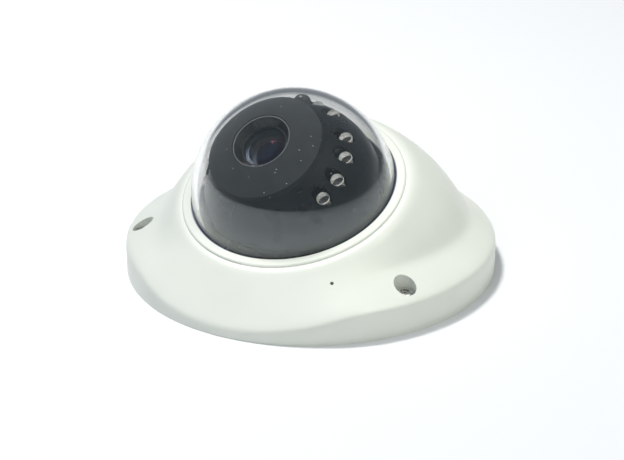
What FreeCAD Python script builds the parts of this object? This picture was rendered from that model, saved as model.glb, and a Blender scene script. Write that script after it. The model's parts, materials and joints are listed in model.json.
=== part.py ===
"""Dome camera with a leaning bell cover, as a parametric document of separate pieces.

Frame: millimetres, +Z up out of the mounting surface, origin at the centre of the base,
front towards -Y. The bell and the clear dome lean towards the front.
"""
import FreeCAD
import Part
import Sketcher
import math
import os
import re

SIZES = {
    # cover
    "wall_radius": 75.0,
    "wall_thick": 2.5,
    "plate_top": 20.2,
    "front_rim": 3.0,
    "side_rim": 11.2,
    "edge_rise": 0.9,
    "rim_slope": 35.0,
    "flank_radius": 64.8,
    "flank_centre_radius": 3.8,
    "flank_centre_height": -8.4,
    "crease_radius": 44.7,
    "crease_height": 1.7,
    # dome, measured from its own centre along the leaning axis
    "dome_lean": 21.0,
    "dome_distance": 38.1,
    "dome_outer": 40.5,
    "dome_inner": 38.3,
    "collar_bore": 41.0,
    "collar_top": 2.6,
    "collar_round": 0.8,
    "collar_inner_round": 0.35,
    "pocket_radius": 45.4,
    "lip_under": -1.1,
    "flange_radius": 45.2,
    "flange_top": -1.7,
    "flange_bottom": -3.5,
    "seal_outer": 40.95,
    "seal_inner": 40.55,
    "seal_top": 2.0,
    "clamp_outer": 48.4,
    "clamp_inner": 39.2,
    "clamp_bottom": -5.7,
    "clamp_screw_circle": 46.9,
    "clamp_screw_head": 1.3,
    "clamp_screw_shank": 0.9,
    "clamp_screw_tip": 0.4,
    # cover screws
    "screw_circle": 68.0,
    "recess_radius": 4.3,
    "recess_wall": 6.4,
    "recess_floor": 10.9,
    "boss_bottom": 8.3,
    "screw_head_radius": 3.45,
    "screw_head_bottom": 11.7,
    "screw_head_top": 14.0,
    "screw_shank": 2.0,
    "screw_tip": 2.0,
    "screw_clearance": 2.3,
    "screw_head_round": 0.7,
    "socket_radius": 1.7,
    "socket_floor": 12.7,
    "socket_pin": 0.55,
    "socket_pin_top": 13.8,
    # base
    "base_radius": 71.4,
    "base_thick": 2.4,
    "post_radius": 3.2,
    "post_bore": 2.05,
    "post_bore_floor": 1.2,
    "fixing_circle": 50.0,
    "fixing_bore": 2.4,
    "fixing_pad": 5.2,
    "fixing_pad_top": 3.6,
    "cable_place": 47.0,
    "cable_hole": 6.0,
    "grommet_bore": 3.2,
    "grommet_bottom": 0.2,
    "grommet_waist": 5.95,
    "grommet_flange": 8.0,
    "grommet_flange_top": 4.0,
    "grommet_neck": 5.0,
    "grommet_top": 7.0,
    "rim_seal_inner": 71.5,
    "rim_seal_outer": 72.4,
    "rim_seal_bottom": 0.4,
    "rim_seal_top": 1.7,
    # turntable and yoke, about the upright pan axis
    "seat_inner": 20.0,
    "seat_outer": 26.0,
    "seat_top": 3.3,
    "table_radius": 27.0,
    "table_bottom": 3.4,
    "table_step": 4.6,
    "table_hub": 24.6,
    "table_top": 6.6,
    "table_bore": 6.0,
    "keeper_lip": 24.9,
    "keeper_inner": 27.3,
    "keeper_outer": 31.0,
    "keeper_lip_under": 4.8,
    "keeper_top": 6.2,
    "keeper_screw_circle": 29.2,
    "small_head": 1.9,
    "small_head_tall": 1.4,
    "small_shank": 1.0,
    "small_bore": 1.1,
    "blind_floor": 0.8,
    "yoke_half": 23.5,
    "yoke_plate": 1.6,
    "yoke_deep": 8.0,
    "arm_thick": 2.0,
    "arm_round": 6.0,
    "pivot_bore": 1.55,
    "pivot_shank": 1.5,
    "pivot_end": 21.0,
    "washer_radius": 5.4,
    "washer_end": 24.15,
    "ear_start": 24.2,
    "ear_end": 26.2,
    "ear_round": 5.0,
    "pivot_head": 3.2,
    "pivot_head_end": 27.8,
    # camera ball, along the lens axis from the dome's centre
    "lens_pan": -7.6,
    "lens_tilt": 37.4,
    "ball_outer": 35.3,
    "ball_inner": 34.0,
    "ball_front": 27.4,
    "ball_front_inside": 25.4,
    "ball_mouth": 12.0,
    "ball_opening": 10.0,
    "boss_circle": 22.5,
    "boss_radius": 2.2,
    "foam_outer": 22.4,
    "foam_inner": 11.6,
    "foam_dome": 50.0,
    "foam_dome_centre": -14.9,
    "carrier_bore": 14.2,
    "carrier_radius": 31.0,
    "carrier_bottom": 9.0,
    "carrier_top": 11.0,
    "led_board_inner": 18.0,
    "led_board_outer": 30.2,
    "led_board_top": 12.6,
    "led_circle": 28.1,
    "led_radius": 2.5,
    "led_collar": 2.9,
    "led_collar_top": 13.6,
    "led_dome_centre": 18.6,
    "led_hole": 3.0,
    "photocell_radius": 3.5,
    "photocell_centre": 20.0,
    "photocell_hole": 3.6,
    # lens module, turning inside the carrier
    "tube_radius": 14.12,
    "tube_cavity": 12.6,
    "tube_flange": 16.5,
    "tube_flange_bottom": 7.3,
    "tube_flange_top": 8.9,
    "cavity_top": 12.2,
    "tube_top": 13.6,
    "neck_radius": 9.0,
    "neck_bore": 6.05,
    "neck_top": 20.0,
    "clip_bore": 14.15,
    "clip_bottom": 11.1,
    "clip_top": 12.3,
    "lock_ring_outer": 8.4,
    "lock_ring_bottom": 20.2,
    "lock_ring_top": 21.8,
    "barrel_thread": 6.0,
    "barrel_bore": 4.6,
    "barrel_bottom": 12.8,
    "barrel_shoulder": 22.2,
    "barrel_radius": 9.6,
    "barrel_floor": 27.2,
    "barrel_step": 6.6,
    "barrel_step_floor": 24.5,
    "barrel_cup": 8.5,
    "barrel_top": 28.4,
    "bezel_neck": 9.9,
    "bezel_flare_start": 30.6,
    "bezel_radius": 11.3,
    "bezel_flare_end": 32.4,
    "bezel_top": 33.5,
    "bezel_rim": 11.0,
    "bezel_cone_end": 8.9,
    "bezel_lip": 30.5,
    "glass_radius": 8.4,
    "glass_bottom": 27.4,
    "glass_curve": 16.0,
    "glass_curve_centre": 15.0,
    "rear_glass_radius": 4.5,
    "rear_glass_bottom": 13.4,
    "rear_glass_top": 15.2,
    "sensor_board_half": 12.0,
    "sensor_board_bottom": 5.7,
    "sensor_top": 8.3,
    "sensor_wide": 4.5,
    "sensor_deep": 3.5,
    "sensor_socket_half": 5.0,
    "sensor_socket_front": 7.0,
    "sensor_socket_back": 10.5,
    "sensor_socket_bottom": 3.2,
    "board_thick": 1.6,
    "slide_left": 3.6,
    "slide_right": 10.9,
    "slide_half": 4.1,
    "slide_bottom": 9.8,
    "slide_top": 10.6,
    "pane_half": 3.1,
    "pane_bottom": 9.95,
    "pane_top": 10.45,
    "clear_pane_left": 4.2,
    "clear_pane_right": 10.4,
    "rail_reach": 11.0,
    "rail_inner": 4.2,
    "rail_outer": 5.0,
    "rail_bottom": 9.0,
    "coil_half": 3.0,
    "coil_front": 6.0,
    "coil_back": 9.5,
    # main board
    "main_board_half": 36.0,
    "main_board_front": 8.0,
    "main_board_back": 36.0,
    "main_board_bottom": 9.0,
    "main_board_gap": 34.5,
    "standoff_radius": 2.4,
    "chip_half": 7.0,
    "chip_front": 22.0,
    "chip_back": 35.0,
    "chip_tall": 1.6,
    "sink_half": 6.5,
    "sink_front": 22.5,
    "sink_back": 34.5,
    "sink_top": 5.0,
    "socket_place": 22.0,
    "socket_half": 5.0,
    "socket_front": 25.0,
    "socket_back": 30.0,
    "socket_tall": 6.0,
    "can_radius": 2.5,
    "can_tall": 8.0,
    # microphone
    "microphone_side": 41.0,
    "microphone_circle": 54.4,
    "microphone_depth": 4.6,
    "microphone_radius": 2.0,
    "microphone_hole": 0.7,
    "microphone_tall": 2.4,
    "boot_deep": 2.0,
    "boot_radius": 2.9,
    "boot_lip": 0.6,
    "boot_hole": 0.8,
}

ROWS_AROUND = 48
ORIGIN = FreeCAD.Vector(0, 0, 0)
UP = FreeCAD.Vector(0, 0, 1)
RIGHT = FreeCAD.Vector(1, 0, 0)

doc = FreeCAD.newDocument("DomeCamera")
sheet = doc.addObject("Spreadsheet::Sheet", "Sizes")
for line, (word, number) in enumerate(SIZES.items(), start=1):
    sheet.set(f"A{line}", word)
    sheet.set(f"B{line}", str(number))
    sheet.setAlias(f"B{line}", word)
doc.recompute()

subparts = []


# ---------------------------------------------------------------- expressions and places

def value(text):
    """The number that a sum of sheet words and plain numbers stands for."""
    total = 0.0
    sign = 1
    for token in text.split():
        if token in ("+", "-"):
            sign = 1 if token == "+" else -1
        else:
            total += sign * (SIZES[token] if token in SIZES else float(token))
            sign = 1
    return total


def bind(item, prop, text):
    """Binds a property to a sum of sheet words and plain numbers."""
    item.setExpression(prop, re.sub(r"[a-z_]+", r"Sizes.\g<0>", text))


def turned(axis, degrees, centre=ORIGIN):
    return FreeCAD.Placement(centre, FreeCAD.Rotation(axis, degrees))


def spots(radius, angles, height=0.0):
    """Points on a circle about the local Z axis, at the given angles in degrees."""
    return [FreeCAD.Vector(radius * math.cos(math.radians(angle)),
                           radius * math.sin(math.radians(angle)), height) for angle in angles]


lean = math.radians(SIZES["dome_lean"])
dome_axis = FreeCAD.Vector(0, -math.sin(lean), math.cos(lean))
dome_centre = dome_axis * SIZES["dome_distance"]
dome_frame = turned(RIGHT, SIZES["dome_lean"], dome_centre)
pan_frame = turned(UP, SIZES["lens_pan"], FreeCAD.Vector(0, dome_centre.y, 0))
lens_frame = turned(UP, SIZES["lens_pan"], dome_centre) * turned(RIGHT, SIZES["lens_tilt"])
world = FreeCAD.Placement()

COVER_SCREW_ANGLES = (-31.4, 90, 208.6)
FIXING_ANGLES = (30, 150, 270)
CLAMP_SCREW_ANGLES = range(0, 360, 60)
KEEPER_SCREW_ANGLES = (90, 210, 330)
BALL_SCREW_ANGLES = (90, 210, 330)
PHOTOCELL_ANGLE = 96
LED_PAIR_ANGLES = (23, 68, 106)
LED_PAIR_HALF = 9
LED_ANGLES = [PHOTOCELL_ANGLE + side * (pair + half)
              for side in (-1, 1) for pair in LED_PAIR_ANGLES for half in (-LED_PAIR_HALF, LED_PAIR_HALF)]
CAPACITOR_SPOTS = [FreeCAD.Vector(x, 33, 0) for x in (12, 19)]
PANES = {
    "infrared_filter": ("0 - pane_half", "pane_half"),
    "clear_filter": ("clear_pane_left", "clear_pane_right"),
}
BOARD_SCREW_SPOTS = [FreeCAD.Vector(x, y, 0) for x in (-32, 32) for y in (13, 32)]


# ---------------------------------------------------------------- building blocks

def group(items):
    item = doc.addObject("Part::Compound", "Group")
    item.Links = items
    return item


def placed(item, frame):
    """Carries an item in a group with a placement of its own, so that its bound position stays."""
    carrier = group([item])
    carrier.Placement = frame
    return carrier


def keep(item, label, frame=world):
    """Makes an object a sub-part with its own label and placement."""
    if item.TypeId in ("Part::Box", "Part::Cylinder", "Part::Sphere"):
        item = group([item])
    item.Label = label
    item.Placement = frame
    subparts.append(item)
    return item


def cylinder(radius, bottom, top, spot=ORIGIN):
    item = doc.addObject("Part::Cylinder", "Cylinder")
    bind(item, "Radius", radius)
    bind(item, "Height", f"({top}) - ({bottom})")
    item.Placement.Base = FreeCAD.Vector(spot.x, spot.y, 0)
    bind(item, "Placement.Base.z", bottom)
    return item


def side_cylinder(radius, start, end, side):
    """A cylinder along the local X axis, on the side given by +1 or -1."""
    item = doc.addObject("Part::Cylinder", "SideCylinder")
    bind(item, "Radius", radius)
    bind(item, "Height", f"({end}) - ({start})")
    item.Placement = turned(FreeCAD.Vector(0, side, 0), 90, FreeCAD.Vector(side * value(start), 0, 0))
    return item


def block(low, high):
    """A box between two corners, each three sums of sheet words."""
    item = doc.addObject("Part::Box", "Block")
    sides = ("Length", "Width", "Height")
    for side, axis, start, end in zip(sides, "xyz", low, high):
        bind(item, side, f"({end}) - ({start})")
        bind(item, f"Placement.Base.{axis}", start)
    return item


def sphere(radius, centre_height="0"):
    item = doc.addObject("Part::Sphere", "Sphere")
    bind(item, "Radius", radius)
    bind(item, "Placement.Base.z", centre_height)
    return item


def fuse(items):
    item = doc.addObject("Part::MultiFuse", "Fuse")
    item.Shapes = items
    return item


def common(items):
    item = doc.addObject("Part::MultiCommon", "Common")
    item.Shapes = items
    return item


def cut(base, tools):
    item = doc.addObject("Part::Cut", "Cut")
    item.Base = base
    item.Tool = tools[0] if len(tools) == 1 else fuse(tools)
    return item


def ring(outer, inner, bottom, top):
    return cut(cylinder(outer, bottom, top), [cylinder(inner, f"{bottom} - 1", f"{top} + 1")])


def screw(spot, head, head_low, head_high, shank, shank_low, shank_high):
    return fuse([cylinder(head, head_low, head_high, spot), cylinder(shank, shank_low, shank_high, spot)])


def round_edges(item, radius, chosen):
    """Rounds the edges for which chosen(edge) is true."""
    doc.recompute()
    fillet = doc.addObject("Part::Fillet", "Fillet")
    fillet.Base = item
    numbers = [place for place, edge in enumerate(item.Shape.Edges, start=1) if chosen(edge)]
    fillet.Edges = [(place, value(radius), value(radius)) for place in numbers]
    return fillet


def circle_edge(radius, height):
    """Chooses the full circle of a radius at a height."""
    def chosen(edge):
        box = edge.BoundBox
        flat = abs(box.ZMax - height) < 1e-3 and abs(box.ZMin - height) < 1e-3
        return flat and abs(box.XMax - radius) < 1e-3
    return chosen


# ---------------------------------------------------------------- PartDesign helpers

def plane_of(body, role):
    return next(item for item in body.Origin.OriginFeatures if item.Role == role)


def sketch_on(body, role, height=0.0):
    """A sketch on one of the body's own origin planes, raised along its normal."""
    sketch = body.newObject("Sketcher::SketchObject", "Sketch")
    sketch.AttachmentSupport = [(plane_of(body, role), "")]
    sketch.MapMode = "FlatFace"
    sketch.AttachmentOffset = FreeCAD.Placement(FreeCAD.Vector(0, 0, height), FreeCAD.Rotation())
    return sketch


def pin_point(sketch, edge, end, across, along):
    """Ties a sketch point to two sums of sheet words."""
    for kind, axis, text in (("DistanceX", -2, across), ("DistanceY", -1, along)):
        if abs(value(text)) < 1e-9:
            sketch.addConstraint(Sketcher.Constraint("PointOnObject", edge, end, axis))
            continue
        place = sketch.addConstraint(Sketcher.Constraint(kind, -1, 1, edge, end, value(text)))
        bind(sketch, f"Constraints[{place}]", text)


def draw_outline(sketch, points):
    """A closed outline of straight lines through points given as pairs of sums."""
    corners = [FreeCAD.Vector(value(across), value(along), 0) for across, along in points]
    count = len(corners)
    for place in range(count):
        sketch.addGeometry(Part.LineSegment(corners[place], corners[(place + 1) % count]))
    for place in range(count):
        sketch.addConstraint(Sketcher.Constraint("Coincident", place, 2, (place + 1) % count, 1))
    for place, (across, along) in enumerate(points):
        pin_point(sketch, place, 1, across, along)


def draw_circle(sketch, radius, spot=ORIGIN):
    edge = sketch.addGeometry(Part.Circle(spot, UP, value(radius)))
    place = sketch.addConstraint(Sketcher.Constraint("Radius", edge, value(radius)))
    bind(sketch, f"Constraints[{place}]", radius)
    for kind, axis, distance in (("DistanceX", -2, spot.x), ("DistanceY", -1, spot.y)):
        if abs(distance) < 1e-9:
            sketch.addConstraint(Sketcher.Constraint("PointOnObject", edge, 3, axis))
        else:
            sketch.addConstraint(Sketcher.Constraint(kind, -1, 1, edge, 3, distance))


def turned_body(label, points, frame=world):
    """A ring or disc turned about the local Z axis from an outline of (radius, height) pairs."""
    body = doc.addObject("PartDesign::Body", "Body")
    sketch = sketch_on(body, "XZ_Plane")
    draw_outline(sketch, points)
    revolution = body.newObject("PartDesign::Revolution", "Revolution")
    revolution.Profile = sketch
    revolution.ReferenceAxis = (sketch, ["V_Axis"])
    revolution.Angle = 360
    return keep(body, label, frame)


def pad(body, sketch, length):
    feature = body.newObject("PartDesign::Pad", "Pad")
    feature.Profile = sketch
    bind(feature, "Length", length)
    return feature


def pocket_through(body, sketch):
    feature = body.newObject("PartDesign::Pocket", "Pocket")
    feature.Profile = sketch
    feature.Type = "ThroughAll"
    feature.Midplane = True
    return feature


# ---------------------------------------------------------------- cover

def mix(first, second, share):
    return first + (second - first) * share


def smooth_step(share):
    share = min(1.0, max(0.0, share))
    return share * share * (3 - 2 * share)


def flank(height, inset):
    """Radius of the bell at a height along the leaning axis, both from the base centre."""
    rise = height - SIZES["flank_centre_height"]
    return SIZES["flank_centre_radius"] + math.sqrt((SIZES["flank_radius"] - inset) ** 2 - rise ** 2)


def leaning_point(radius, height, angle):
    """A point at a radius and height about the leaning axis."""
    across = FreeCAD.Vector(0, math.cos(lean), math.sin(lean))
    return dome_axis * height + (RIGHT * math.cos(angle) + across * math.sin(angle)) * radius


def upright_point(radius, height, angle):
    return FreeCAD.Vector(radius * math.cos(angle), radius * math.sin(angle), height)


def foot_height(angle, plate, inset):
    """Height along the leaning axis at which the bell meets the brim."""
    low = -20.0
    high = SIZES["dome_distance"]
    for _ in range(40):
        middle = (low + high) / 2
        if leaning_point(flank(middle, inset), middle, angle).z > plate:
            high = middle
        else:
            low = middle
    return (low + high) / 2


def cover_column(angle, inset, stretch):
    """Poles of the cover's surface from the collar down to the rim, at one angle.

    At the front an even apron runs from the shoulder to the low rim. At the sides and back
    the bell meets a brim that slopes down to the edge. The inner skin is inset by the wall.
    """
    from_front = math.degrees(math.acos(-math.sin(angle)))
    side = smooth_step((from_front - 15) / 75)
    plate = SIZES["plate_top"] - inset
    wall = (SIZES["wall_radius"] - inset) * stretch
    slanted = SIZES["front_rim"] + SIZES["rim_slope"] * (1 - math.cos(math.radians(from_front)))
    rim = min(slanted, SIZES["side_rim"]) - 0.2 * inset
    crease = SIZES["dome_distance"] + SIZES["crease_height"]
    if inset:
        top = SIZES["dome_distance"] + SIZES["flange_bottom"]
        shoulder = [(flank(top, inset), top)]
    else:
        top = crease - 2.2
        shoulder = [(SIZES["crease_radius"], crease), (SIZES["crease_radius"] + 1.7, crease + 0.1),
                    (SIZES["crease_radius"] + 3.6, crease - 0.6)]
    column = [leaning_point(radius * stretch, height, angle) for radius, height in shoulder]
    corner = upright_point(wall - SIZES["edge_rise"] / 4, rim + SIZES["edge_rise"], angle)
    foot = foot_height(angle, plate, inset)
    bell = [mix(top, foot, share) for share in (0.1, 0.4, 0.72, 1.0)]
    slope = [leaning_point(flank(height, inset) * stretch, height, angle) for height in bell]
    foot_radius = math.hypot(slope[-1].x, slope[-1].y)
    brim = [upright_point(mix(foot_radius, wall, share), mix(plate, corner.z + 0.6, share), angle)
            for share in (0.3, 0.62, 0.9)]
    steps = []
    for place, point in enumerate(slope + brim, start=1):
        apron = column[-1] + (corner - column[-1]) * (place / (len(slope + brim) + 1))
        steps.append(apron + (point - apron) * side)
    floor = -1.0 if inset else 0.0
    heights = (rim - SIZES["edge_rise"], mix(rim, floor, 0.6), floor)
    return column + steps + [corner] + [upright_point(wall, height, angle) for height in heights]


def cover_solid(inset):
    """A closed solid under the cover's outer skin, or under its inner skin."""
    stretch = 3 / (2 + math.cos(2 * math.pi / ROWS_AROUND))
    angles = [2 * math.pi * place / ROWS_AROUND for place in range(ROWS_AROUND)]
    columns = [cover_column(angle, inset, stretch) for angle in angles]
    count = len(columns[0])
    poles = [[column[row] for column in columns] for row in range(count)]
    down_knots = list(range(count - 2))
    down_counts = [4] + [1] * (count - 4) + [4]
    around_knots = list(range(ROWS_AROUND + 1))
    skin = Part.BSplineSurface()
    skin.buildFromPolesMultsKnots(poles, down_counts, [1] * (ROWS_AROUND + 1), down_knots,
                                  around_knots, False, True, 3, 3)
    face = skin.toShape()
    ends = [Part.Face(Part.Wire([skin.uIso(place).toShape()])) for place in (down_knots[0], down_knots[-1])]
    shell = Part.makeShell([face] + ends)
    shell.sewShape()
    solid = Part.Solid(shell)
    if solid.Volume < 0:
        solid.reverse()
    item = doc.addObject("Part::Feature", "CoverSkin")
    item.Shape = solid
    return item


def screw_tools(radius, low, high):
    """One cylinder at each cover screw."""
    places = spots(SIZES["screw_circle"], COVER_SCREW_ANGLES)
    return [cylinder(radius, low, high, place) for place in places]


def collar():
    """The raised bead around the dome, with the lip that holds the seal down."""
    bead = cut(cylinder("crease_radius + 0.02", "lip_under", "collar_top"),
               [cylinder("collar_bore", "lip_under - 1", "collar_top + 1")])
    bead = round_edges(bead, "collar_round", circle_edge(value("crease_radius + 0.02"), SIZES["collar_top"]))
    bead = round_edges(bead, "collar_inner_round", circle_edge(SIZES["collar_bore"], SIZES["collar_top"]))
    bead.Placement = dome_frame
    return bead


def leaning_tool(item):
    """Puts a tool made about the local axis onto the dome's leaning axis."""
    return placed(item, dome_frame)


def microphone_place():
    """The microphone hole: a point on the outer skin, with Z out along the skin's normal."""
    angle = math.radians(SIZES["microphone_side"] - 90)
    start = leaning_point(SIZES["microphone_circle"], 0.0, angle)
    ray = Part.makeLine(start, start + dome_axis * SIZES["wall_radius"])
    point = outer_skin.Shape.Faces[0].section(ray).Vertexes[0].Point
    surface = outer_skin.Shape.Faces[0].Surface
    normal = surface.normal(*surface.parameter(point))
    outward = normal if normal.z > 0 else normal * -1
    return FreeCAD.Placement(point, FreeCAD.Rotation(UP, outward))


outer_skin = cover_solid(0.0)
inner_skin = cover_solid(SIZES["wall_thick"])
microphone_frame = microphone_place()


def make_cover():
    towers = screw_tools("recess_wall", "boss_bottom", "wall_radius")
    room = cut(inner_skin, towers)
    pocket = leaning_tool(cylinder("pocket_radius", "flange_bottom - 3", "lip_under"))
    bore = leaning_tool(cylinder("collar_bore", "lip_under - 2", "collar_top + 9"))
    holes = [cylinder("clamp_screw_shank", "flange_bottom - 1", "clamp_screw_tip", place)
             for place in spots(SIZES["clamp_screw_circle"], CLAMP_SCREW_ANGLES)]
    microphone_hole = placed(cylinder("microphone_hole", "0 - 6", "4"), microphone_frame)
    recesses = screw_tools("recess_radius", "recess_floor", "wall_radius")
    clearances = screw_tools("screw_clearance", "boss_bottom - 1", "recess_floor + 1")
    shell = cut(outer_skin, [room, pocket] + [leaning_tool(hole) for hole in holes])
    shell = cut(fuse([shell, collar()]), [bore, microphone_hole] + recesses + clearances)
    keep(shell, "cover")


def make_dome():
    half = common([sphere("dome_outer"), cylinder("dome_outer", "0", "dome_outer")])
    body = fuse([half, cylinder("dome_outer", "flange_bottom", "0"),
                 cylinder("flange_radius", "flange_bottom", "flange_top")])
    hollow = [sphere("dome_inner"), cylinder("dome_inner", "flange_bottom - 1", "0")]
    keep(cut(body, hollow), "dome_bubble", dome_frame)
    turned_body("dome_seal", [
        ("seal_inner", "flange_top"), ("flange_radius", "flange_top"), ("flange_radius", "lip_under"),
        ("seal_outer", "lip_under"), ("seal_outer", "seal_top"), ("seal_inner", "seal_top")], dome_frame)
    places = spots(SIZES["clamp_screw_circle"], CLAMP_SCREW_ANGLES)
    holes = [cylinder("clamp_screw_shank", "clamp_bottom - 1", "flange_bottom + 1", place)
             for place in places]
    clamp = cut(ring("clamp_outer", "clamp_inner", "clamp_bottom", "flange_bottom"), holes)
    keep(clamp, "dome_clamp_ring", dome_frame)
    screws = [screw(place, "clamp_screw_head", "clamp_bottom - 1.1", "clamp_bottom",
                    "clamp_screw_shank", "clamp_bottom - 0.5", "clamp_screw_tip") for place in places]
    keep(group(screws), "clamp_ring_screws", dome_frame)


def make_cover_screws():
    screws = []
    seals = []
    for place in spots(SIZES["screw_circle"], COVER_SCREW_ANGLES):
        head = screw(place, "screw_head_radius", "screw_head_bottom", "screw_head_top",
                     "screw_shank", "screw_tip", "screw_head_bottom + 1")
        head = round_edges(head, "screw_head_round", circle_edge(place.x + SIZES["screw_head_radius"],
                                                      SIZES["screw_head_top"]))
        socket = cylinder("socket_radius", "socket_floor", "screw_head_top + 1", place)
        pin = cylinder("socket_pin", "socket_floor - 0.5", "socket_pin_top", place)
        screws.append(fuse([cut(head, [socket]), pin]))
        seals.append(cut(cylinder("screw_head_radius", "recess_floor", "screw_head_bottom", place),
                         [cylinder("screw_shank", "recess_floor - 1", "screw_head_bottom + 1", place)]))
    keep(group(screws), "cover_screws")
    keep(group(seals), "screw_seals")


# ---------------------------------------------------------------- base

def make_base():
    body = doc.addObject("PartDesign::Body", "Body")
    disc = sketch_on(body, "XY_Plane")
    draw_circle(disc, "base_radius")
    pad(body, disc, "base_thick")
    for angles, circle, radius, top in (
            (COVER_SCREW_ANGLES, "screw_circle", "post_radius", "boss_bottom"),
            (FIXING_ANGLES, "fixing_circle", "fixing_pad", "fixing_pad_top")):
        raised = sketch_on(body, "XY_Plane")
        for place in spots(SIZES[circle], angles):
            draw_circle(raised, radius, place)
        pad(body, raised, top)
    holes = sketch_on(body, "XY_Plane")
    for place in spots(SIZES["fixing_circle"], FIXING_ANGLES):
        draw_circle(holes, "fixing_bore", place)
    draw_circle(holes, "cable_hole", FreeCAD.Vector(0, SIZES["cable_place"], 0))
    pocket_through(body, holes)
    seat = ring("seat_outer", "seat_inner", "base_thick - 0.5", "seat_top")
    seat.Placement = pan_frame
    standoffs = [cylinder("standoff_radius", "base_thick - 0.5", "main_board_bottom", place)
                 for place in BOARD_SCREW_SPOTS]
    bores = screw_tools("post_bore", "post_bore_floor", "boss_bottom + 1")
    bores += [cylinder("small_bore", "blind_floor", "main_board_bottom + 1", place)
              for place in BOARD_SCREW_SPOTS]
    for place in spots(SIZES["keeper_screw_circle"], KEEPER_SCREW_ANGLES):
        bores.append(cylinder("small_bore", "blind_floor", "base_thick + 1", pan_frame.multVec(place)))
    keep(cut(fuse([body, seat] + standoffs), bores), "base_plate")
    turned_body("rim_seal", [
        ("rim_seal_inner", "rim_seal_bottom"), ("rim_seal_outer", "rim_seal_bottom"),
        ("rim_seal_outer", "rim_seal_top"), ("rim_seal_inner", "rim_seal_top")])
    turned_body("cable_grommet", [
        ("grommet_bore", "grommet_bottom"), ("grommet_waist", "grommet_bottom"),
        ("grommet_waist", "base_thick"), ("grommet_flange", "base_thick"),
        ("grommet_flange", "grommet_flange_top"), ("grommet_neck", "grommet_top"),
        ("grommet_bore", "grommet_top")],
        FreeCAD.Placement(FreeCAD.Vector(0, SIZES["cable_place"], 0), FreeCAD.Rotation()))


def make_main_board():
    board = cut(block(("0 - main_board_half", "main_board_front", "main_board_bottom"),
                      ("main_board_half", "main_board_back", "main_board_bottom + board_thick")),
                [cylinder("main_board_gap", "base_thick", "20", pan_frame.Base)]
                + [cylinder("small_bore", "base_thick", "20", place) for place in BOARD_SCREW_SPOTS])
    keep(board, "main_board")
    top = "main_board_bottom + board_thick"
    screws = [screw(place, "small_head", top, f"{top} + small_head_tall", "small_shank",
                    "blind_floor + 1", f"{top} + 1") for place in BOARD_SCREW_SPOTS]
    keep(group(screws), "board_screws")
    keep(block(("0 - chip_half", "chip_front", top), ("chip_half", "chip_back", f"{top} + chip_tall")),
         "processor_chip")
    keep(block(("0 - sink_half", "sink_front", f"{top} + chip_tall"),
               ("sink_half", "sink_back", f"{top} + sink_top")), "heat_sink")
    sockets = [block((f"{middle} - socket_half", "socket_front", top),
                     (f"{middle} + socket_half", "socket_back", f"{top} + socket_tall"))
               for middle in ("socket_place", "0 - socket_place")]
    keep(group(sockets), "board_sockets")
    cans = [cylinder("can_radius", top, f"{top} + can_tall", place) for place in CAPACITOR_SPOTS]
    keep(group(cans), "board_capacitors")


def make_microphone():
    inside = FreeCAD.Placement(FreeCAD.Vector(0, 0, -SIZES["microphone_depth"]), FreeCAD.Rotation())
    frame = microphone_frame * inside
    turned_body("microphone", [
        ("0", "0 - microphone_tall"), ("microphone_radius", "0 - microphone_tall"),
        ("microphone_radius", "0"), ("0", "0")], frame)
    turned_body("microphone_boot", [
        ("microphone_radius", "0 - boot_deep"), ("boot_radius", "0 - boot_deep"), ("boot_radius", "boot_lip"),
        ("boot_hole", "boot_lip"), ("boot_hole", "0"), ("microphone_radius", "0")], frame)


# ---------------------------------------------------------------- turntable and yoke

def make_turntable():
    flange = fuse([cylinder("table_radius", "table_bottom", "table_step"),
                   cylinder("table_hub", "table_bottom", "table_top")])
    bore = cylinder("table_bore", "table_bottom - 1", "table_top + 1")
    yoke_spots = spots(12.0, (0, 180))
    holes = [cylinder("small_bore", "table_bottom - 1", "table_top + 1", place) for place in yoke_spots]
    keep(cut(flange, [bore] + holes), "turntable", pan_frame)
    keeper_spots = spots(SIZES["keeper_screw_circle"], KEEPER_SCREW_ANGLES)
    keeper = cut(cylinder("keeper_outer", "base_thick", "keeper_top"),
                 [cylinder("keeper_inner", "base_thick - 1", "keeper_lip_under"),
                  cylinder("keeper_lip", "base_thick", "keeper_top + 1")]
                 + [cylinder("small_bore", "base_thick - 1", "keeper_top + 1", place)
                    for place in keeper_spots])
    keep(keeper, "turntable_keeper", pan_frame)
    screws = [screw(place, "small_head", "keeper_top", "keeper_top + small_head_tall", "small_shank",
                    "blind_floor + 0.2", "keeper_top + 1") for place in keeper_spots]
    keep(group(screws), "keeper_screws", pan_frame)
    yoke_top = "table_top + yoke_plate"
    yoke_screws = [screw(place, "small_head", yoke_top, f"{yoke_top} + small_head_tall", "small_shank",
                         "table_bottom + 0.2", f"{yoke_top} + 1") for place in yoke_spots]
    keep(group(yoke_screws), "yoke_screws", pan_frame)
    return yoke_spots


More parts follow.
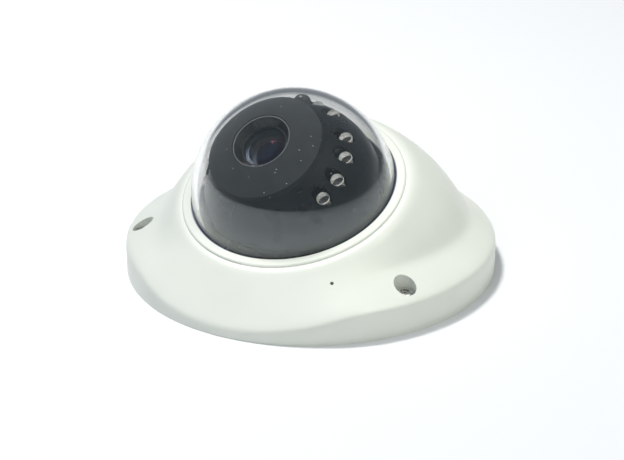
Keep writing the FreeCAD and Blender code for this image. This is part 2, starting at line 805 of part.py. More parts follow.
def make_yoke(yoke_spots):
    """A bent strap: a foot on the turntable and an arm on each side up to the tilt axis."""
    centre = FreeCAD.Placement(FreeCAD.Vector(0, 0, dome_centre.z), FreeCAD.Rotation())
    pieces = [block(("0 - yoke_half", "0 - yoke_deep", "table_top"),
                    ("yoke_half", "yoke_deep", "table_top + yoke_plate"))]
    bores = [cylinder("table_bore", "table_top - 1", "table_top + 3")]
    bores += [cylinder("small_bore", "table_top - 1", "table_top + 3", place) for place in yoke_spots]
    washers = []
    for side in (1, -1):
        end = side_cylinder("arm_round", "yoke_half - arm_thick", "yoke_half", side)
        arm = doc.addObject("Part::Box", "Arm")
        bind(arm, "Length", "arm_thick")
        bind(arm, "Width", "arm_round + arm_round")
        arm.Height = dome_centre.z - SIZES["table_top"]
        left = value("yoke_half - arm_thick") if side > 0 else -SIZES["yoke_half"]
        arm.Placement.Base = FreeCAD.Vector(left, -SIZES["arm_round"], SIZES["table_top"])
        bore = side_cylinder("pivot_bore", "yoke_half - arm_thick - 1", "yoke_half + 1", side)
        washer = cut(side_cylinder("washer_radius", "yoke_half", "washer_end", side),
                     [side_cylinder("pivot_bore", "yoke_half - 1", "washer_end + 1", side)])
        for item in (end, bore):
            item.Placement = centre * item.Placement
        pieces += [arm, end]
        bores.append(bore)
        washers.append(washer)
    keep(cut(fuse(pieces), bores), "yoke", pan_frame)
    keep(group(washers), "friction_washers", pan_frame * centre)


# ---------------------------------------------------------------- camera ball

def make_ball():
    outside = common([sphere("ball_outer"), cylinder("ball_outer + 1", "0 - ball_outer", "ball_front")])
    inside = common([sphere("ball_inner"),
                     cylinder("ball_outer + 1", "0 - ball_outer", "ball_front_inside")])
    boss_spots = spots(SIZES["boss_circle"], BALL_SCREW_ANGLES)
    bosses = [cylinder("boss_radius", "led_board_top", "ball_front - 1", place) for place in boss_spots]
    holes = [cylinder("led_hole", "led_board_top", "ball_outer", place)
             for place in spots(SIZES["led_circle"], LED_ANGLES)]
    holes += [cylinder("photocell_hole", "led_board_top", "ball_outer", place)
              for place in spots(SIZES["led_circle"], [PHOTOCELL_ANGLE])]
    holes += [cylinder("small_shank", "led_board_top - 1", "led_board_top + 6", place)
              for place in boss_spots]
    opening = cylinder("ball_outer + 5", "0 - ball_outer - 5", "0 - ball_opening")
    opening = placed(opening, turned(RIGHT, -SIZES["lens_tilt"]))
    mouth = cylinder("ball_mouth", "ball_front_inside - 1", "ball_front + 1")
    shell = cut(fuse([cut(outside, [inside])] + bosses), holes + [opening, mouth])
    keep(shell, "ball_housing", lens_frame)
    tube = ring("foam_outer", "foam_inner", "ball_front", "ball_outer + 3")
    keep(common([tube, sphere("foam_dome", "foam_dome_centre")]), "foam_ring", lens_frame)


def make_led_board():
    holes = [cylinder("small_bore", "carrier_top - 1", "led_board_top + 1", place)
             for place in spots(SIZES["boss_circle"], BALL_SCREW_ANGLES)]
    board = cut(ring("led_board_outer", "led_board_inner", "carrier_top", "led_board_top"), holes)
    keep(board, "led_board", lens_frame)
    leds = []
    for place in spots(SIZES["led_circle"], LED_ANGLES):
        tip = sphere("led_radius", "led_dome_centre")
        tip.Placement.Base = FreeCAD.Vector(place.x, place.y, SIZES["led_dome_centre"])
        leds.append(fuse([cylinder("led_collar", "led_board_top", "led_collar_top", place),
                          cylinder("led_radius", "led_board_top", "led_dome_centre", place), tip]))
    keep(group(leds), "infrared_leds", lens_frame)
    place = spots(SIZES["led_circle"], [PHOTOCELL_ANGLE])[0]
    tip = sphere("photocell_radius", "photocell_centre")
    tip.Placement.Base = FreeCAD.Vector(place.x, place.y, SIZES["photocell_centre"])
    keep(fuse([cylinder("photocell_radius", "led_board_top", "photocell_centre", place), tip]),
         "photocell", lens_frame)


def make_carrier():
    """The plate behind the LED board, with an ear on each side for the tilt pivots."""
    pieces = [ring("carrier_radius", "carrier_bore", "carrier_bottom", "carrier_top")]
    bores = [cylinder("small_bore", "carrier_bottom - 1", "carrier_top + 1", place)
             for place in spots(SIZES["boss_circle"], BALL_SCREW_ANGLES)]
    pivots = []
    for side in (1, -1):
        start, end = ("ear_start", "ear_end") if side > 0 else ("0 - ear_end", "0 - ear_start")
        pieces.append(block((start, "0 - ear_round", "0"), (end, "ear_round", "carrier_bottom + 1")))
        pieces.append(side_cylinder("ear_round", "ear_start", "ear_end", side))
        bores.append(side_cylinder("pivot_bore", "ear_start - 1", "ear_end + 1", side))
        pivots.append(fuse([side_cylinder("pivot_head", "ear_end", "pivot_head_end", side),
                            side_cylinder("pivot_shank", "pivot_end", "ear_end + 1", side)]))
    keep(cut(fuse(pieces), bores), "lens_carrier", lens_frame)
    keep(group(pivots), "pivot_screws", lens_frame)
    screws = [screw(place, "small_head", "carrier_bottom - 1.4", "carrier_bottom", "small_shank",
                    "carrier_bottom - 1", "led_board_top + 5")
              for place in spots(SIZES["boss_circle"], BALL_SCREW_ANGLES)]
    keep(group(screws), "carrier_screws", lens_frame)


# ---------------------------------------------------------------- lens module

def make_lens_seat():
    turned_body("lens_seat", [
        ("tube_cavity", "tube_flange_bottom"), ("tube_flange", "tube_flange_bottom"),
        ("tube_flange", "tube_flange_top"), ("tube_radius", "tube_flange_top"),
        ("tube_radius", "tube_top"), ("neck_radius", "tube_top"), ("neck_radius", "neck_top"),
        ("neck_bore", "neck_top"), ("neck_bore", "cavity_top"), ("tube_cavity", "cavity_top")], lens_frame)
    keep(ring("tube_flange", "clip_bore", "clip_bottom", "clip_top"), "seat_clip", lens_frame)
    keep(ring("lock_ring_outer", "neck_bore", "lock_ring_bottom", "lock_ring_top"),
         "focus_lock_ring", lens_frame)


def make_sensor_board():
    top = "sensor_board_bottom + board_thick"
    half = SIZES["sensor_board_half"] - 1.7
    corners = [FreeCAD.Vector(half, half, 0), FreeCAD.Vector(-half, -half, 0)]
    board = cut(block(("0 - sensor_board_half", "0 - sensor_board_half", "sensor_board_bottom"),
                      ("sensor_board_half", "sensor_board_half", top)),
                [cylinder("small_bore", "sensor_board_bottom - 1", "tube_flange_bottom + 1", place)
                 for place in corners])
    keep(board, "sensor_board", lens_frame)
    keep(block(("0 - sensor_wide", "0 - sensor_deep", top), ("sensor_wide", "sensor_deep", "sensor_top")),
         "image_sensor", lens_frame)
    keep(block(("0 - sensor_socket_half", "0 - sensor_socket_back", "sensor_socket_bottom"),
               ("sensor_socket_half", "0 - sensor_socket_front", "sensor_board_bottom")),
         "sensor_socket", lens_frame)
    screws = [screw(place, "small_head", "sensor_board_bottom - 1.2", "sensor_board_bottom",
                    "small_shank", "sensor_board_bottom - 1", "tube_flange_bottom")
              for place in corners]
    keep(group(screws), "sensor_board_screws", lens_frame)


def make_filter():
    """A frame with two panes that slides across behind the lens between two rails."""
    frame = cut(block(("0 - slide_left", "0 - slide_half", "slide_bottom"),
                      ("slide_right", "slide_half", "slide_top")),
                [block((left, "0 - pane_half", "slide_bottom - 1"), (right, "pane_half", "slide_top + 1"))
                 for left, right in PANES.values()])
    keep(frame, "filter_frame", lens_frame)
    for label, (left, right) in PANES.items():
        pane = block((left, "0 - pane_half", "pane_bottom"), (right, "pane_half", "pane_top"))
        keep(pane, label, lens_frame)
    rails = [block(("0 - rail_reach", low, "rail_bottom"), ("rail_reach", high, "cavity_top"))
             for low, high in (("rail_inner", "rail_outer"), ("0 - rail_outer", "0 - rail_inner"))]
    keep(group(rails), "filter_rails", lens_frame)
    keep(block(("0 - coil_half", "coil_front", "rail_bottom"), ("coil_half", "coil_back", "cavity_top")),
         "filter_coil", lens_frame)


def make_lens():
    turned_body("lens_barrel", [
        ("barrel_bore", "barrel_bottom"), ("barrel_thread", "barrel_bottom"),
        ("barrel_thread", "barrel_shoulder"), ("barrel_radius", "barrel_shoulder"),
        ("barrel_radius", "barrel_top"), ("barrel_cup", "barrel_top"), ("barrel_cup", "barrel_floor"),
        ("barrel_step", "barrel_floor"), ("barrel_step", "barrel_step_floor"),
        ("barrel_bore", "barrel_step_floor")], lens_frame)
    turned_body("lens_bezel", [
        ("barrel_cup", "barrel_top"), ("bezel_neck", "barrel_top"), ("bezel_neck", "bezel_flare_start"),
        ("bezel_radius", "bezel_flare_end"), ("bezel_radius", "bezel_top"), ("bezel_rim", "bezel_top"),
        ("bezel_cone_end", "bezel_lip"), ("barrel_cup", "bezel_lip")], lens_frame)
    keep(common([cylinder("glass_radius", "glass_bottom", "ball_outer"),
                 sphere("glass_curve", "glass_curve_centre")]), "front_lens", lens_frame)
    keep(cylinder("rear_glass_radius", "rear_glass_bottom", "rear_glass_top"), "rear_lens", lens_frame)


# ---------------------------------------------------------------- whole camera

def check_and_export():
    doc.recompute()
    for item in doc.Objects:
        if "Invalid" in item.State or "Error" in item.State:
            raise RuntimeError(f"{item.Label} failed: {item.State}")
    os.makedirs("parts", exist_ok=True)
    for item in subparts:
        shape = item.Shape
        if shape.isNull() or not shape.isValid() or not shape.Solids:
            raise RuntimeError(f"{item.Label} has no valid solid")
        shape.exportStep(f"parts/{item.Label}.step")


make_cover()
make_dome()
make_cover_screws()
make_base()
make_main_board()
make_microphone()
make_yoke(make_turntable())
make_ball()
make_led_board()
make_carrier()
make_lens_seat()
make_sensor_board()
make_filter()
make_lens()
check_and_export()
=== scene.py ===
import json
import math

import bmesh
import bpy
from mathutils import Matrix, Vector


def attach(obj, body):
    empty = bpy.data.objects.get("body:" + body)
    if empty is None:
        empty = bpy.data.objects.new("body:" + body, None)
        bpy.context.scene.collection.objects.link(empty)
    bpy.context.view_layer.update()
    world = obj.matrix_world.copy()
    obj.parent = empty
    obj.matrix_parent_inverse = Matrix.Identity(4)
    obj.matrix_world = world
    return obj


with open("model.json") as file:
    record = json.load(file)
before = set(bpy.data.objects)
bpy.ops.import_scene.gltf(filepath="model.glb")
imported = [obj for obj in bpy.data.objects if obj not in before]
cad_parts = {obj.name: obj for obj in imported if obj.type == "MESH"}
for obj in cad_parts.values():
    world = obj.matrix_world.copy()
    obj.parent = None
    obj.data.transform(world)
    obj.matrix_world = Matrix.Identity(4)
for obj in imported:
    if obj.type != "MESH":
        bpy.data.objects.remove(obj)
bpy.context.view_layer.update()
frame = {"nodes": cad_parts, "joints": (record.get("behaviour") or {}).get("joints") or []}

MM = 0.001
NODES = frame["nodes"]
JOINTS = {joint["name"]: joint for joint in frame["joints"]}
# The ball and the dome share their centre.
BALL_CENTRE = Vector(JOINTS["lens_turn"]["pos_m"])
LENS_AXIS = Vector(JOINTS["lens_turn"]["axis"]).normalized()
DOME_LEAN = math.radians(21.0)
DOME_AXIS = Vector((0, -math.sin(DOME_LEAN), math.cos(DOME_LEAN)))


# ---------------------------------------------------------------- node helpers

class Shading:
    """One procedural material: a Principled shader and the patterns that feed it."""

    def __init__(self, name, **values):
        self.material = bpy.data.materials.new(name)
        self.material.use_nodes = True
        self.tree = self.material.node_tree
        self.shader = self.tree.nodes["Principled BSDF"]
        self.output = self.tree.nodes["Material Output"]
        self.coords = self.tree.nodes.new("ShaderNodeTexCoord").outputs["Object"]
        self.height = None
        for socket, value in values.items():
            key = socket.replace("_", " ").title().replace("Ior", "IOR")
            self.shader.inputs[key].default_value = value

    def node(self, kind, inputs=None, **settings):
        made = self.tree.nodes.new("ShaderNode" + kind)
        for key, value in settings.items():
            setattr(made, key, value)
        for key, value in (inputs or {}).items():
            if isinstance(value, bpy.types.NodeSocket):
                self.tree.links.new(value, made.inputs[key])
            else:
                made.inputs[key].default_value = value
        return made

    def link(self, source, target):
        self.tree.links.new(source, target)

    def noise(self, size, detail=3.0, roughness=0.55, stretch=None):
        """A cloudy pattern whose lumps are about size metres across, pulled along by stretch."""
        where = self.coords
        if stretch:
            where = self.node("Mapping", {"Vector": where, "Scale": stretch}).outputs[0]
        made = self.node("TexNoise", {"Vector": where, "Scale": 1 / size, "Detail": detail,
                                      "Roughness": roughness})
        return made.outputs["Fac"]

    def specks(self, size, reach, keep=0.5):
        """Small round spots: 1 inside a spot, 0 between them. Only a share keep of the cells has one."""
        cell = self.node("TexVoronoi", {"Vector": self.coords, "Scale": 1 / size})
        near = self.node("Math", {0: cell.outputs["Distance"], 1: reach}, operation="LESS_THAN")
        which = self.node("SeparateColor", {"Color": cell.outputs["Color"]})
        some = self.node("Math", {0: which.outputs[0], 1: keep}, operation="LESS_THAN")
        return self.node("Math", {0: near.outputs[0], 1: some.outputs[0]}, operation="MULTIPLY").outputs[0]

    def span(self, factor, low, high, out_low=0.0, out_high=1.0):
        made = self.node("MapRange", {"Value": factor, "From Min": low, "From Max": high,
                                      "To Min": out_low, "To Max": out_high})
        return made.outputs[0]

    def mix(self, factor, first, second):
        """Two colours, or sockets, mixed by factor."""
        made = self.tree.nodes.new("ShaderNodeMix")
        made.data_type = "RGBA"
        for slot, value in ((0, factor), (6, first), (7, second)):
            if isinstance(value, bpy.types.NodeSocket):
                self.link(value, made.inputs[slot])
            elif slot:
                made.inputs[slot].default_value = (*value, 1)
            else:
                made.inputs[slot].default_value = value
        return made.outputs[2]

    def colour(self, source):
        self.link(source, self.shader.inputs["Base Color"])
        return self

    def rough(self, factor, low, high):
        self.link(self.span(factor, 0.3, 0.7, low, high), self.shader.inputs["Roughness"])
        return self

    def bump(self, factor, depth, strength=1.0):
        """Relief depth metres high, added to what is there."""
        made = self.node("Bump", {"Height": factor, "Distance": depth, "Strength": strength})
        if self.height:
            self.link(self.height, made.inputs["Normal"])
        self.height = made.outputs[0]
        self.link(self.height, self.shader.inputs["Normal"])
        return self

    def arm(self):
        """The way from the ball's centre to the shaded point."""
        return self.node("VectorMath", {0: self.coords, 1: BALL_CENTRE}, operation="SUBTRACT").outputs[0]

    def axis_distance(self):
        """Distance from the lens axis."""
        across = self.node("VectorMath", {0: self.arm(), 1: LENS_AXIS}, operation="CROSS_PRODUCT")
        return self.node("VectorMath", {0: across.outputs[0]}, operation="LENGTH").outputs["Value"]

    def dome_height(self):
        """Height above the ball's centre, along the dome's axis."""
        made = self.node("VectorMath", {0: self.arm(), 1: DOME_AXIS}, operation="DOT_PRODUCT")
        return made.outputs["Value"]

    def lets_lamps_through(self, tint=(1, 1, 1)):
        """Clear material whose inside is lit: lamps shine straight through it."""
        path = self.node("LightPath")
        open_side = self.node("BsdfTransparent", {"Color": (*tint, 1)})
        both = self.tree.nodes.new("ShaderNodeMixShader")
        self.link(path.outputs["Is Shadow Ray"], both.inputs[0])
        self.link(self.shader.outputs[0], both.inputs[1])
        self.link(open_side.outputs[0], both.inputs[2])
        self.link(both.outputs[0], self.output.inputs[0])
        return self


def dress(shading, *names):
    """Gives CAD nodes, or pieces, this material."""
    for name in names:
        piece = bpy.data.objects[name]
        if not piece.material_slots:
            piece.data.materials.append(shading.material)
        for slot in piece.material_slots:
            slot.material = shading.material


# ---------------------------------------------------------------- kinds of finish

def powder_coat(name, light, dark):
    """Satin powder coat: fine orange peel over a nearly even colour."""
    paint = Shading(name, roughness=0.42, coat_weight=0.12, coat_roughness=0.35)
    cloud = paint.noise(28 * MM, detail=2)
    grain = paint.noise(0.55 * MM, detail=2)
    paint.colour(paint.mix(paint.span(cloud, 0.3, 0.7), light, dark))
    paint.rough(cloud, 0.38, 0.47)
    paint.bump(paint.noise(1.6 * MM, detail=1), 0.010 * MM)
    return paint.bump(grain, 0.004 * MM)


def moulded(name, light, dark, roughness, grain=0.35, depth=0.006):
    """Moulded plastic with a fine spark-eroded grain."""
    plastic = Shading(name)
    cloud = plastic.noise(9 * MM)
    plastic.colour(plastic.mix(plastic.span(cloud, 0.3, 0.7), light, dark))
    plastic.rough(cloud, roughness - 0.05, roughness + 0.05)
    return plastic.bump(plastic.noise(grain * MM, detail=2), depth * MM)


def rubbery(name, colour, dusty=(0.16, 0.16, 0.16)):
    """Rubber or closed-cell foam with dust in its pores."""
    rubber = Shading(name)
    pores = rubber.noise(0.7 * MM, detail=4)
    rubber.colour(rubber.mix(rubber.span(pores, 0.55, 0.95, 0, 0.5), colour, dusty))
    rubber.rough(pores, 0.78, 0.95)
    return rubber.bump(pores, 0.02 * MM)


def metal(name, light, dark, roughness, grain=(1, 1, 12), metallic=1.0):
    """Bare or plated metal with drawn or turned marks."""
    bare = Shading(name, metallic=metallic)
    marks = bare.noise(1.1 * MM, detail=4, stretch=grain)
    bare.colour(bare.mix(bare.span(marks, 0.3, 0.7), light, dark))
    bare.rough(marks, roughness - 0.06, roughness + 0.08)
    return bare.bump(marks, 0.003 * MM)


def casting(name, light, dark):
    """Die-cast metal, left as cast: slightly pitted, with flow marks."""
    cast = Shading(name, metallic=0.85)
    flow = cast.noise(14 * MM, detail=5)
    pits = cast.noise(0.6 * MM, detail=3)
    cast.colour(cast.mix(cast.span(flow, 0.3, 0.7), light, dark))
    cast.rough(flow, 0.42, 0.6)
    return cast.bump(pits, 0.02 * MM)


def board(name, bare, over_copper):
    """Solder mask over copper tracks, with tinned pads."""
    mask = Shading(name)
    tracks = mask.node("TexBrick", {"Vector": mask.coords, "Scale": 1 / (14 * MM), "Mortar Size": 0.012,
                                    "Color1": (1, 1, 1, 1), "Color2": (1, 1, 1, 1), "Mortar": (0, 0, 0, 1)})
    copper = mask.mix(tracks.outputs["Fac"], bare, over_copper)
    pads = mask.specks(2.4 * MM, 0.22, keep=0.4)
    mask.colour(mask.mix(pads, copper, (0.55, 0.56, 0.52)))
    mask.rough(mask.noise(3 * MM), 0.3, 0.45)
    return mask.bump(tracks.outputs["Fac"], 0.03 * MM)


def clear(name, colour, ior, roughness=0.0, **more):
    """Glass or clear plastic."""
    pane = Shading(name, base_color=(*colour, 1), transmission_weight=1.0, roughness=roughness,
                   ior=ior, **more)
    pane.lets_lamps_through(colour)
    return pane


# ---------------------------------------------------------------- materials of the CAD nodes

def finish_cover():
    dress(powder_coat("cover_paint", (0.686, 0.712, 0.665), (0.654, 0.682, 0.634)), "cover")


def finish_dome():
    """Near its rim the dome lets less light through and shows its pale colour as a diffuse layer: a painted
    reflection, standing in for the floor mirrored there.
    """
    dome = clear("dome_polycarbonate", (0.970, 0.977, 0.970), 1.585, specular_tint=(0.86, 0.98, 1.0, 1))
    haze = dome.noise(22 * MM, detail=3)
    dome.link(dome.span(haze, 0.35, 0.75, 0.0, 0.012), dome.shader.inputs["Roughness"])
    # Painted reflection: low on the dome's axis the clear share falls to 0.90, so a pale diffuse layer
    # shows near the rim.
    clear_share_under_painted_reflection = dome.span(dome.dome_height(), 1 * MM, 14 * MM, 0.90, 1.0)
    dome.link(clear_share_under_painted_reflection, dome.shader.inputs["Transmission Weight"])
    dress(dome, "dome_bubble")
    seal = moulded("dome_seal_rubber", (0.045, 0.055, 0.15), (0.035, 0.042, 0.12), 0.5)
    dress(seal, "dome_seal")


def finish_ball():
    shell = moulded("ball_plastic", (0.009, 0.011, 0.014), (0.006, 0.008, 0.010), 0.30, grain=0.5,
                    depth=0.0015)
    shell.shader.inputs["Specular IOR Level"].default_value = 0.3
    dress(shell, "ball_housing")
    foam = Shading("foam")
    cells = foam.noise(0.45 * MM, detail=4, roughness=0.7)
    patches = foam.noise(6 * MM, detail=3)
    grey = foam.mix(foam.span(patches, 0.3, 0.7), (0.020, 0.023, 0.027), (0.028, 0.032, 0.037))
    grey = foam.mix(foam.span(cells, 0.45, 0.85, 0, 0.35), grey, (0.080, 0.088, 0.095))
    dust = foam.specks(1.9 * MM, 0.10, keep=0.30)
    foam.colour(foam.mix(dust, grey, (0.46, 0.48, 0.48)))
    foam.rough(cells, 0.85, 1.0)
    foam.bump(cells, 0.05 * MM)
    dress(foam, "foam_ring")
    cell = Shading("photocell_lens", base_color=(0.030, 0.031, 0.034, 1), roughness=0.22,
                   coat_weight=0.6, coat_roughness=0.05)
    cell.bump(cell.noise(2 * MM), 0.01 * MM)
    dress(cell, "photocell")


def finish_leds():
    epoxy = clear("led_epoxy", (0.97, 0.975, 0.985), 1.54, roughness=0.01)
    dress(epoxy, "infrared_leds")


def finish_lens():
    barrel = metal("lens_black_anodised", (0.012, 0.012, 0.013), (0.018, 0.018, 0.02), 0.42, metallic=0.4)
    dress(barrel, "lens_barrel")
    bezel = Shading("bezel_black_painted_highlight_rim", metallic=0.25)
    turning = bezel.noise(1.4 * MM, detail=2)
    black = bezel.mix(turning, (0.012, 0.013, 0.015), (0.018, 0.019, 0.022))
    # Painted highlight: past 10.9 mm from the lens axis the bezel is coloured lighter, standing in for
    # light caught on its rim.
    rim = bezel.span(bezel.axis_distance(), 10.85 * MM, 10.95 * MM)
    bezel.colour(bezel.mix(rim, black, (0.17, 0.18, 0.20)))
    bezel.rough(turning, 0.26, 0.34)
    dress(bezel, "lens_bezel")
    front = clear("front_glass", (0.84, 0.88, 0.96), 1.6, roughness=0.02, thin_film_thickness=310.0,
                  thin_film_ior=1.38)
    dress(front, "front_lens")
    rear = clear("rear_glass", (0.8, 0.9, 0.95), 1.6, thin_film_thickness=300.0, thin_film_ior=1.38)
    dress(rear, "rear_lens")


def finish_hardware():
    bright = metal("nickel_plate", (0.62, 0.62, 0.60), (0.50, 0.50, 0.49), 0.26, grain=(6, 1, 1))
    dress(bright, "cover_screws")
    zinc = metal("zinc_plate", (0.58, 0.59, 0.60), (0.48, 0.49, 0.50), 0.36)
    dress(zinc, "clamp_ring_screws", "board_screws", "keeper_screws", "yoke_screws", "carrier_screws",
          "pivot_screws", "sensor_board_screws", "dome_clamp_ring")
    dark_zinc = metal("black_zinc", (0.10, 0.10, 0.105), (0.07, 0.07, 0.075), 0.42)
    dress(dark_zinc, "yoke")
    spring = metal("spring_steel", (0.42, 0.42, 0.41), (0.34, 0.34, 0.33), 0.3)
    dress(spring, "seat_clip")
    brass = metal("turned_brass", (0.56, 0.40, 0.16), (0.46, 0.32, 0.12), 0.3)
    dress(brass, "focus_lock_ring")
    copper = metal("coil_copper", (0.62, 0.27, 0.12), (0.5, 0.2, 0.09), 0.35, grain=(1, 20, 1))
    dress(copper, "filter_coil")
    can = metal("pressed_can", (0.6, 0.6, 0.6), (0.52, 0.52, 0.53), 0.3)
    dress(can, "microphone", "board_capacitors")
    sink = metal("sink_anodised", (0.12, 0.12, 0.13), (0.09, 0.09, 0.10), 0.45)
    dress(sink, "heat_sink")
    dress(casting("base_casting", (0.55, 0.56, 0.56), (0.44, 0.45, 0.45)), "base_plate")


def finish_soft_and_moulded():
    dress(rubbery("black_rubber", (0.018, 0.018, 0.019)), "screw_seals", "cable_grommet", "microphone_boot")
    dress(rubbery("rim_foam", (0.03, 0.03, 0.031)), "rim_seal")
    black = moulded("black_nylon", (0.020, 0.021, 0.022), (0.028, 0.029, 0.03), 0.5)
    dress(black, "turntable", "turntable_keeper", "lens_carrier", "lens_seat", "filter_rails",
          "filter_frame", "processor_chip")
    natural = moulded("natural_nylon", (0.70, 0.68, 0.60), (0.64, 0.62, 0.55), 0.5)
    dress(natural, "friction_washers", "board_sockets", "sensor_socket")
    dress(board("solder_mask", (0.010, 0.085, 0.035), (0.030, 0.17, 0.06)), "main_board", "sensor_board")
    dress(board("black_solder_mask", (0.008, 0.009, 0.010), (0.016, 0.018, 0.02)), "led_board")
    chip = Shading("sensor_window", base_color=(0.03, 0.035, 0.05, 1), roughness=0.08)
    chip.bump(chip.noise(0.5 * MM), 0.002 * MM)
    dress(chip, "image_sensor")
    dress(clear("infrared_glass", (0.35, 0.75, 0.80), 1.52), "infrared_filter")
    dress(clear("clear_glass", (0.95, 0.97, 0.97), 1.52), "clear_filter")


# ---------------------------------------------------------------- pieces made here

# An emitter's inside, in millimetres from the highest point of its dome: profiles of radius and
# height, and boxes from corner to corner.
LED_BOWL = [(0.0, -4.3), (0.62, -4.3), (1.25, -3.3), (1.75, -2.5), (2.2, -2.35), (2.3, -2.6),
            (1.6, -3.6), (0.9, -4.9), (0.0, -4.9)]
LED_DIE = [(0.0, -4.02), (0.4, -4.02), (0.4, -4.32), (0.0, -4.32)]
LED_WELL = [(0.42, -4.24), (0.62, -4.27), (1.05, -3.55), (1.13, -3.42), (1.0, -3.5), (0.6, -4.2)]
LED_STEM = ((-0.7, -0.28, -6.4), (0.7, 0.28, -4.85))
LED_POST = ((1.7, -0.25, -6.4), (2.15, 0.25, -3.9))
LED_GAP = math.radians(1.5)
WIRE_STEPS = 10
WIRE_HALF = 0.03
EDGE_SHARE = 0.12


def piece(name, mesh, body, shading, slot):
    made = bpy.data.objects.new(name, mesh)
    bpy.context.scene.collection.objects.link(made)
    made.data.materials.append(shading.material)
    for polygon in made.data.polygons:
        polygon.use_smooth = True
    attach(made, body)
    return made


def revolve(work, profile, place, steps=32):
    """Turns a profile of (radius, height) pairs about its own Z axis into mesh faces, at place."""
    rings = []
    for radius, height in profile:
        if radius <= 0:
            rings.append([work.verts.new(place @ Vector((0, 0, height)))])
            continue
        angles = [2 * math.pi * step / steps for step in range(steps)]
        rings.append([work.verts.new(place @ Vector((radius * math.cos(a), radius * math.sin(a), height)))
                      for a in angles])
    for low, high in zip(rings, rings[1:]):
        for step in range(steps):
            after = (step + 1) % steps
            corners = [low[step % len(low)], low[after % len(low)], high[after % len(high)],
                       high[step % len(high)]]
            distinct = list(dict.fromkeys(corners))
            if len(distinct) > 2:
                work.faces.new(distinct)


def box_faces(work, low, high, place):
    """A box with softened edges."""
    made = bmesh.ops.create_cube(work, size=1)
    size = Vector(high) - Vector(low)
    middle = (Vector(high) + Vector(low)) / 2
    shape = place @ Matrix.Translation(middle) @ Matrix.Diagonal((*size, 1))
    bmesh.ops.transform(work, matrix=shape, verts=made["verts"])
    edges = list({edge for vert in made["verts"] for edge in vert.link_edges})
    offset = min(size) * place.to_scale().x * EDGE_SHARE
    bmesh.ops.bevel(work, geom=edges, offset=offset, segments=2, profile=0.5, affect="EDGES")


def to_mesh(work, name):
    bmesh.ops.recalc_face_normals(work, faces=work.faces)
    mesh = bpy.data.meshes.new(name)
    work.to_mesh(mesh)
    work.free()
    return mesh


def led_places():
    """The frame of each emitter: origin at the highest point of its dome, Z along the lens axis.

    The emitters' vertices are told apart by their angle about the lens axis.
    """
    across = LENS_AXIS.orthogonal().normalized()
    up = LENS_AXIS.cross(across)
    found = []
    for vertex in NODES["infrared_leds"].data.vertices:
        arm = vertex.co - BALL_CENTRE
        found.append((math.atan2(arm.dot(up), arm.dot(across)), arm.dot(LENS_AXIS), vertex.co.copy()))
    found.sort(key=lambda entry: entry[0])
    groups = [[found[0]]]
    for before, after in zip(found, found[1:]):
        if after[0] - before[0] > LED_GAP:
            groups.append([])
        groups[-1].append(after)
    if found[0][0] + 2 * math.pi - found[-1][0] <= LED_GAP:
        groups[0] += groups.pop()
    places = []
    turn = LENS_AXIS.to_track_quat("Z", "Y").to_matrix().to_4x4()
    for group in groups:
        tip = max(group, key=lambda entry: entry[1])
        points = [entry[2] for entry in group]
        flat = [point - LENS_AXIS * point.dot(LENS_AXIS) for point in points]
        low = Vector([min(p[i] for p in flat) for i in range(3)])
        high = Vector([max(p[i] for p in flat) for i in range(3)])
        middle = (low + high) / 2
        middle -= LENS_AXIS * middle.dot(LENS_AXIS)
        places.append(Matrix.Translation(middle + LENS_AXIS * tip[2].dot(LENS_AXIS)) @ turn)
    return places


def wire_point(share):
    """The bond wire from the die to the bowl's wall, in millimetres."""
    return 1.6 * share, 0.0, -4.05 + 1.3 * share + 0.5 * math.sin(math.pi * share)


def wire_faces(work, place):
    """The bond wire as a chain of short boxes."""
    for step in range(WIRE_STEPS):
        ends = [wire_point(share / WIRE_STEPS) for share in (step, step + 1)]
        low = tuple(min(pair) - WIRE_HALF for pair in zip(*ends))
        high = tuple(max(pair) + WIRE_HALF for pair in zip(*ends))
        box_faces(work, low, high, place)


def make_led_insides():
    """Lead frames cast into the clear emitters: a bright bowl with a die in it, a post and a fine wire."""
    cups, frames, dies, wells, wires = (bmesh.new() for _ in range(5))
    for place in led_places():
        scaled = place @ Matrix.Scale(MM, 4)
        revolve(cups, LED_BOWL, scaled)
        box_faces(frames, *LED_STEM, scaled)
        box_faces(frames, *LED_POST, scaled)
        revolve(dies, LED_DIE, scaled)
        revolve(wells, LED_WELL, scaled)
        wire_faces(wires, scaled)
    silver = metal("led_silver", (0.95, 0.95, 0.95), (0.90, 0.90, 0.90), 0.24, metallic=0.6)
    pale = Shading("led_die", base_color=(0.75, 0.75, 0.78, 1), roughness=0.3)
    dark = Shading("led_well", base_color=(0.035, 0.035, 0.04, 1), roughness=0.3)
    for shading in (pale, dark):
        shading.bump(shading.noise(0.1 * MM), 0.002 * MM)
    gold = metal("led_gold_wire", (0.85, 0.62, 0.25), (0.8, 0.56, 0.2), 0.25)
    for name, work, shading in (("led_cups", cups, silver), ("led_lead_frames", frames, silver),
                                ("led_dies", dies, pale), ("led_wells", wells, dark),
                                ("led_wires", wires, gold)):
        piece(name, to_mesh(work, name), "ball", shading, "infrared_leds")


# ---------------------------------------------------------------- studio

CAMERA_AZIMUTH = 27.7
CAMERA_ELEVATION = 24.49
CAMERA_ROLL = -0.42
CAMERA_DISTANCE = 0.6166
CAMERA_ASIDE = 0.00046
CAMERA_ABOVE = 0.01146
LENS_MM = 86.54
SENSOR_MM = 36.0
FLOOR_RADIUS = 2.2
SKY_COLOUR = (0.20, 0.222, 0.245, 1)


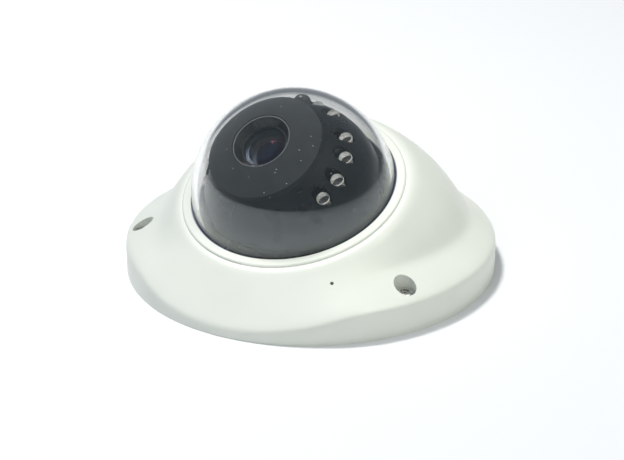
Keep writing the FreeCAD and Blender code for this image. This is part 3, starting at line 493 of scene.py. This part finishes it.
def add_camera():
    turn = Matrix.Rotation(math.radians(CAMERA_AZIMUTH), 3, "Z")
    height = math.radians(CAMERA_ELEVATION)
    back = Vector((0, -math.cos(height), math.sin(height)))
    right = Vector((1, 0, 0))
    roll = Matrix.Rotation(math.radians(CAMERA_ROLL), 3, back)
    right = turn @ roll @ right
    back = turn @ back
    up = back.cross(right)
    camera = bpy.data.objects.new("camera", bpy.data.cameras.new("camera"))
    bpy.context.scene.collection.objects.link(camera)
    camera.data.sensor_width = SENSOR_MM
    camera.data.lens = LENS_MM
    camera.data.clip_start = 0.01
    camera.data.clip_end = 20
    place = Matrix((right, up, back)).transposed().to_4x4()
    place.translation = right * CAMERA_ASIDE + up * CAMERA_ABOVE + back * CAMERA_DISTANCE
    camera.matrix_world = place
    bpy.context.scene.camera = camera


def add_floor():
    work = bmesh.new()
    bmesh.ops.create_circle(work, cap_ends=True, segments=96, radius=FLOOR_RADIUS)
    mesh = to_mesh(work, "floor")
    floor = bpy.data.objects.new("floor", mesh)
    bpy.context.scene.collection.objects.link(floor)
    pale = Shading("floor_white", roughness=0.8, specular_ior_level=0.2)
    pale.colour(pale.mix(pale.noise(60 * MM), (0.955, 0.955, 0.955), (0.965, 0.965, 0.965)))
    floor.data.materials.append(pale.material)
    return floor


def add_softbox(name, azimuth, elevation, distance, size, power, colour=(1, 1, 1), unlit=()):
    """A square softbox aimed at the object. Azimuth is counted from the camera's own, to its left.

    It lights neither the dome, which then shows no lamp, as under a light tent, nor the unlit objects.
    """
    around = math.radians(CAMERA_AZIMUTH - azimuth)
    height = math.radians(elevation)
    level = Vector((math.sin(around), -math.cos(around), 0))
    back = level * math.cos(height) + Vector((0, 0, math.sin(height)))
    lamp = bpy.data.lights.new(name, "AREA")
    lamp.shape = "SQUARE"
    lamp.size = size
    lamp.energy = power
    lamp.color = colour
    made = bpy.data.objects.new(name, lamp)
    bpy.context.scene.collection.objects.link(made)
    made.location = back * distance
    made.rotation_mode = "QUATERNION"
    made.rotation_quaternion = (-back).to_track_quat("-Z", "Y")
    keep_out = bpy.data.collections.new(name + "_receivers")
    for left_out in (NODES["dome_bubble"], *unlit):
        keep_out.objects.link(left_out)
    made.light_linking.receiver_collection = keep_out
    for entry in keep_out.collection_objects:
        entry.light_linking.link_state = "EXCLUDE"


def add_studio(floor):
    world = bpy.data.worlds.new("studio")
    world.use_nodes = True
    world.node_tree.nodes["Background"].inputs[0].default_value = SKY_COLOUR
    bpy.context.scene.world = world
    bpy.context.scene.view_settings.view_transform = "Standard"
    add_softbox("key_softbox", azimuth=130, elevation=72, distance=1.5, size=0.25, power=15.8)
    add_softbox("top_softbox", azimuth=0, elevation=88, distance=1.6, size=1.6, power=3.9)
    add_softbox("left_softbox", azimuth=40, elevation=40, distance=1.5, size=0.9, power=3.2,
                colour=(0.94, 0.98, 1.0))
    add_softbox("right_softbox", azimuth=-50, elevation=52, distance=1.5, size=0.9, power=10.2,
                colour=(1.0, 0.97, 0.82), unlit=[floor])


# ---------------------------------------------------------------- everything


add_camera()
add_studio(add_floor())
finish_cover()
finish_dome()
finish_ball()
finish_leds()
finish_lens()
finish_hardware()
finish_soft_and_moulded()
make_led_insides()
